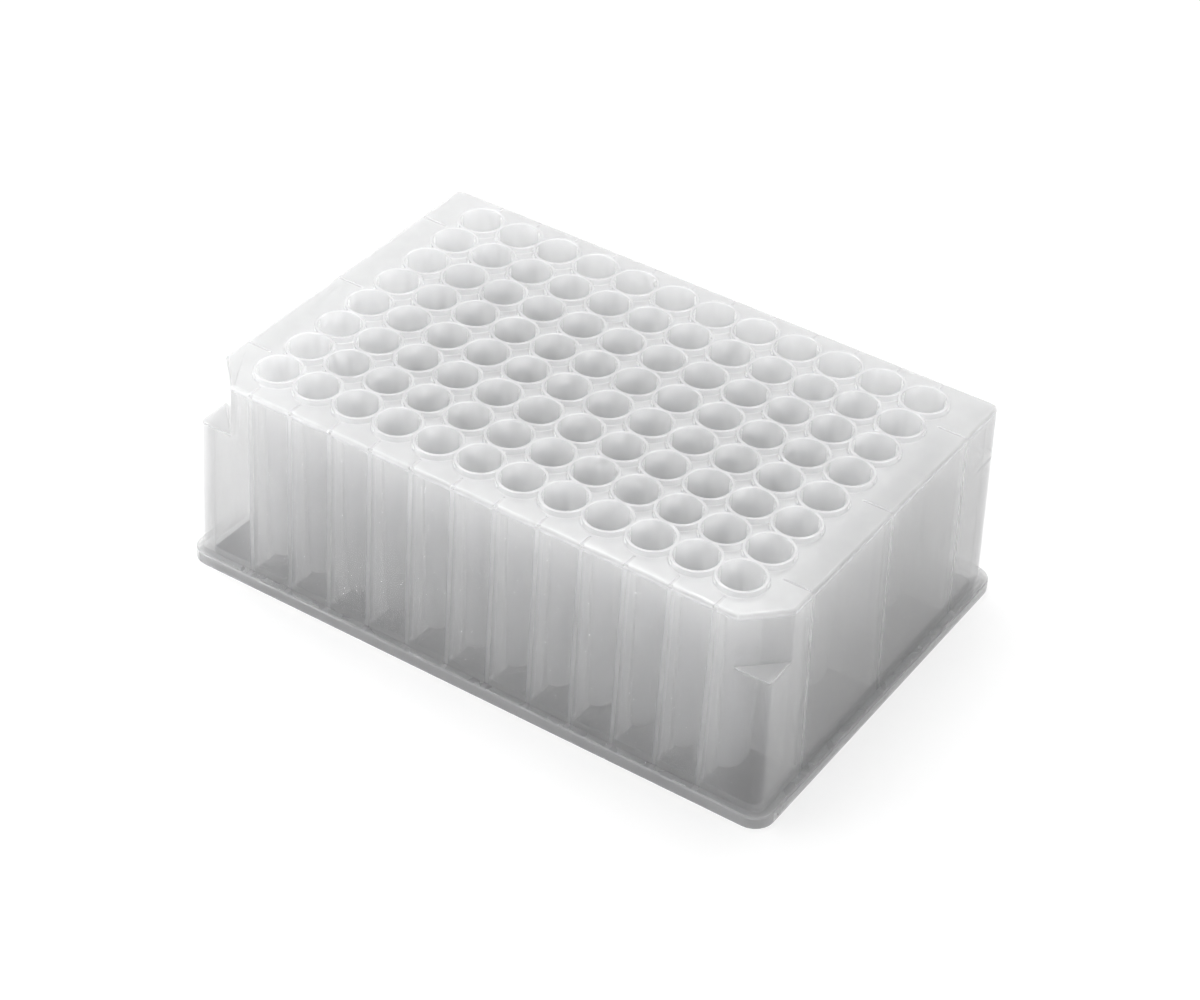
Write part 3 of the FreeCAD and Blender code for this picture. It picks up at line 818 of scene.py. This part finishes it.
def plastic(sizes, finish):
    """Natural polypropylene: milky, part clear, with a satin skin."""
    material = bpy.data.materials.new("natural_polypropylene")
    tree = new_tree(material)
    start = Value(tree, None)
    place = out_of(start.node("ShaderNodeTexCoord"), "Object")
    clouds = out_of(start.node("ShaderNodeTexNoise", Vector=place, Scale=CLOUDS, Detail=2.0),
                    "Fac")
    drawn = start.node("ShaderNodeMapping", Vector=place, Scale=STREAKS)
    streaks = out_of(start.node("ShaderNodeTexNoise", Vector=out_of(drawn, 0), Scale=1.0,
                                Detail=1.0), "Fac")
    dull = [part * (1 - finish.clouding) for part in finish.colour]
    shade = blend(start, clouds, dull, finish.colour)
    clear = clearness(start, sizes, finish, place) + (streaks - 0.5) * finish.streaking

    solid = start.node("ShaderNodeBsdfPrincipled", Base_Color=shade,
                       Roughness=finish.polish, IOR=finish.index,
                       Transmission_Weight=finish.glassy)
    scattered = start.node("ShaderNodeBsdfTranslucent", Color=(*finish.colour, 1))
    body = mixed(start, finish.lucent, solid, scattered)
    straight = start.node("ShaderNodeBsdfTransparent", Color=(1, 1, 1, 1))
    veil = mixed(start, clear, body, straight)
    gloss = start.node("ShaderNodeBsdfGlossy", Color=(1, 1, 1, 1),
                       Roughness=finish.satin + 2 * finish.clouding * (clouds - 0.5))
    edge_on = out_of(start.node("ShaderNodeFresnel", IOR=finish.index), 0)
    front = 1.0 - out_of(start.node("ShaderNodeNewGeometry"), "Backfacing")
    skin = mixed(start, edge_on * front, veil, gloss)
    milk = start.node("ShaderNodeVolumeScatter", Color=(1, 1, 1, 1),
                      Density=finish.haze, Anisotropy=finish.haze_forward)
    output = start.node("ShaderNodeOutputMaterial")
    tree.links.new(skin.outputs[0], output.inputs["Surface"])
    tree.links.new(milk.outputs[0], output.inputs["Volume"])
    return material


def looked_at(start):
    """1 where a thing is seen, straight or in gloss or through glass, and 0 where it lights."""
    path = start.node("ShaderNodeLightPath")
    return out_of(path, "Is Camera Ray").most(out_of(path, "Is Glossy Ray")).most(
        out_of(path, "Is Transmission Ray"))


def floor_paint(sizes, settings):
    """A pale floor that shows as white round the plate, with the plate's shadow on it, and
    painted shadow: under the plate it shows its dark colour.
    """
    material = bpy.data.materials.new("pale_floor")
    tree = new_tree(material)
    start = Value(tree, None)
    place = out_of(start.node("ShaderNodeTexCoord"), "Object")
    split = start.node("ShaderNodeSeparateXYZ", Vector=place)
    corner = sizes.base_corner
    x = abs(out_of(split, 0)) - (sizes.length / 2 - corner)
    y = abs(out_of(split, 1)) - (sizes.width / 2 - corner)
    beyond = (x.most(0.0) ** 2 + y.most(0.0) ** 2) ** 0.5 + x.most(y).least(0.0) - corner
    # painted shadow: around is 0 under the plate, where the camera sees the dark floor instead
    # of the white backdrop
    around = ramp(start, beyond, -settings.contact, 0.0)
    dark = start.node("ShaderNodeBsdfDiffuse", Color=(*settings.floor_colour, 1))
    white = start.node("ShaderNodeBsdfDiffuse", Color=(*[settings.floor_white] * 3, 1))
    glow = start.node("ShaderNodeEmission", Color=(1, 1, 1, 1),
                      Strength=settings.floor_glow)
    shaded = start.node("ShaderNodeAddShader")
    tree.links.new(white.outputs[0], shaded.inputs[0])
    tree.links.new(glow.outputs[0], shaded.inputs[1])
    plain = start.node("ShaderNodeEmission", Color=(1, 1, 1, 1), Strength=1.0)
    far = ramp(start, beyond, settings.shadow_near, settings.shadow_far)
    backdrop = mixed(start, far, shaded, plain)
    paint = mixed(start, looked_at(start) * around, dark, backdrop)
    output = start.node("ShaderNodeOutputMaterial")
    tree.links.new(paint.outputs[0], output.inputs["Surface"])
    return material


# ---------------------------------------------------------------- operators


class PLATE_OT_plate(bpy.types.Operator):
    """Model the moulded plate, with its wells, skirt, lip and ribs"""

    bl_idname = "plate.plate"
    bl_label = "Moulded Plate"

    def execute(self, context):
        sizes = context.scene.plate_sizes
        plate, deck_length, deck_width = build_skirt(sizes)
        hollow_out(plate, sizes, deck_length, deck_width)
        add_wells(plate, sizes)
        add_ribs(plate, sizes, deck_length, deck_width)
        bore_wells(plate, sizes)
        cut_notches(plate, sizes, deck_width)
        cut_sinks(plate, sizes, deck_length, deck_width)
        finish_mesh(plate)
        plate.name = PLATE_NAME
        plate.data.name = PLATE_NAME
        plate.data.materials.clear()
        plate.data.materials.append(plastic(sizes, context.scene.plate_finish))
        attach(plate, "root")
        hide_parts("well_plate")
        return {"FINISHED"}


class PLATE_OT_stage(bpy.types.Operator):
    """Lay the floor, light the plate and set up the camera"""

    bl_idname = "plate.stage"
    bl_label = "Stage"

    def execute(self, context):
        settings = context.scene.plate_stage
        deselect_all()
        bpy.ops.mesh.primitive_plane_add(size=FLOOR_SIDE, location=(0, 0, -FLOOR_DROP))
        floor = context.object
        floor.name = "floor"
        bpy.ops.object.transform_apply(location=True, rotation=True, scale=True)
        floor.data.materials.append(floor_paint(context.scene.plate_sizes, settings))

        world = bpy.data.worlds.new("room")
        context.scene.world = world
        tree = new_tree(world)
        start = Value(tree, None)
        room = start.node("ShaderNodeBackground", Color=(1, 1, 1, 1),
                          Strength=settings.room)
        white = start.node("ShaderNodeBackground", Color=(1, 1, 1, 1), Strength=1.0)
        seen = mixed(start, looked_at(start), room, white)
        output = start.node("ShaderNodeOutputWorld")
        tree.links.new(seen.outputs[0], output.inputs["Surface"])

        add_lamp("key_lamp", KEY_PLACE, KEY_SHAPE, settings.key_power)
        add_lamp("fill_lamp", FILL_PLACE, FILL_SHAPE, settings.fill_power)

        place_camera(context, settings)
        context.scene.view_settings.view_transform = "Standard"
        cycles = context.scene.cycles
        cycles.max_bounces = settings.bounces
        cycles.diffuse_bounces = settings.bounces
        cycles.transmission_bounces = settings.bounces
        cycles.volume_bounces = settings.bounces
        return {"FINISHED"}


def add_lamp(name, place, shape, power):
    """A soft box that faces the plate."""
    deselect_all()
    bpy.ops.object.light_add(type="AREA", location=place)
    lamp = bpy.context.object
    lamp.name = name
    lamp.data.shape = "RECTANGLE"
    lamp.data.size, lamp.data.size_y = shape
    lamp.data.energy = power
    aim = Vector(LIT_POINT) - lamp.location
    lamp.rotation_euler = aim.to_track_quat("-Z", "Y").to_euler()


def place_camera(context, settings):
    """A camera above the cut corner, looking down on the wells."""
    deselect_all()
    bpy.ops.object.camera_add(location=CAMERA_PLACE)
    camera = context.object
    camera.name = "camera"
    camera.rotation_euler = (Matrix.Rotation(settings.turn, 3, "Z") @
                             Matrix.Rotation(math.radians(90) - settings.tilt, 3, "X") @
                             Matrix.Rotation(settings.roll, 3, "Z")).to_euler()
    camera.data.sensor_width = SENSOR
    camera.data.lens = settings.lens
    camera.data.clip_start = NEAREST_SEEN
    context.scene.camera = camera


class PLATE_PT_panel(bpy.types.Panel):
    """The plate's steps, sizes and finish"""

    bl_label = "Deep-Well Plate"
    bl_idname = "PLATE_PT_panel"
    bl_space_type = "VIEW_3D"
    bl_region_type = "UI"
    bl_category = "Plate"

    def draw(self, context):
        for step in OPERATORS:
            self.layout.operator(step.bl_idname)
        for group in (context.scene.plate_sizes, context.scene.plate_finish,
                      context.scene.plate_stage):
            box = self.layout.box()
            for name in group.bl_rna.properties.keys():
                if name not in ("rna_type", "name"):
                    box.prop(group, name)


OPERATORS = (PLATE_OT_plate, PLATE_OT_stage)
CLASSES = (PlateSizes, PlateFinish, StageSettings) + OPERATORS + (PLATE_PT_panel,)


def register():
    """Add the classes and the scene's settings."""
    for kind in CLASSES:
        bpy.utils.register_class(kind)
    bpy.types.Scene.plate_sizes = PointerProperty(type=PlateSizes)
    bpy.types.Scene.plate_finish = PointerProperty(type=PlateFinish)
    bpy.types.Scene.plate_stage = PointerProperty(type=StageSettings)


def unregister():
    """Take them away again."""
    del bpy.types.Scene.plate_stage
    del bpy.types.Scene.plate_finish
    del bpy.types.Scene.plate_sizes
    for kind in reversed(CLASSES):
        bpy.utils.unregister_class(kind)


def main():
    """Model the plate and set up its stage."""
    register()
    bpy.ops.plate.plate()
    bpy.ops.plate.stage()


if __name__ == "__main__":
    main()
